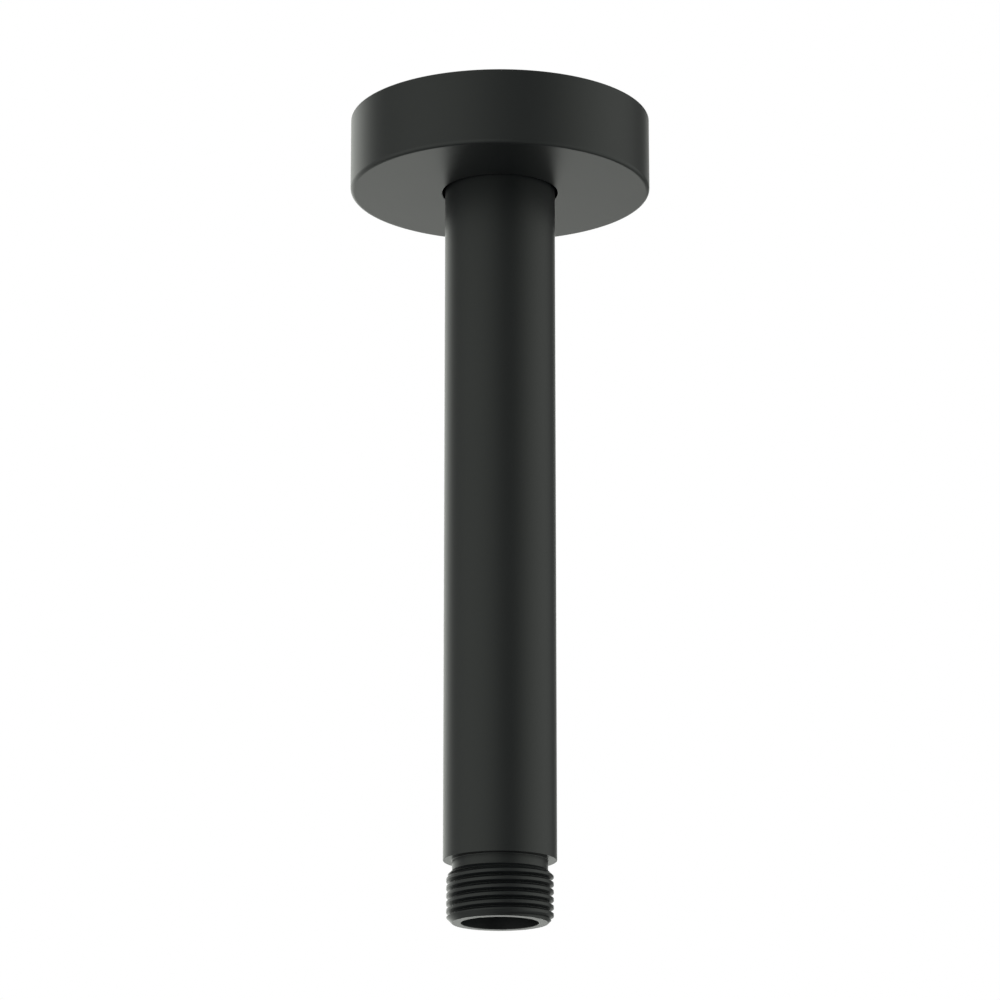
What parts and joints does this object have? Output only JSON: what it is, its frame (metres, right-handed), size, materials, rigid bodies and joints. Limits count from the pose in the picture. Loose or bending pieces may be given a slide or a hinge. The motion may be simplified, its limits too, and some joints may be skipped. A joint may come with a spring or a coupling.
{
  "type": "shower arm",
  "caption": "Straight round shower arm that hangs from a ceiling, with a male pipe thread at each end, a water bore and a sliding round cover flange, in satin black.",
  "frame": {"origin": "on the arm's axis in the ceiling plane, which the cover flange's rim meets", "axes": "+Z along the arm's axis, up into the ceiling; the shower head's thread points to -Z"},
  "size_m": [0.06, 0.06, 0.1683],
  "materials": {
    "black_coat": "satin black coat on brass",
    "ring_rubber": "plain black rubber"
  },
  "bodies": {
    "arm": {"arm": "black_coat"},
    "grip_ring": {"flange_ring": "ring_rubber"},
    "flange": {"cover_flange": "black_coat"}
  },
  "joints": [
    {"name": "flange_slide", "type": "slide", "parent": "arm", "child": "grip_ring", "axis": [0, 0, -1], "range_m": [0, 0.1356]},
    {"name": "flange_turn", "type": "hinge", "parent": "grip_ring", "child": "flange", "pos_m": [0, 0, -0.0102], "axis": [0, 0, 1], "continuous": true}
  ]
}
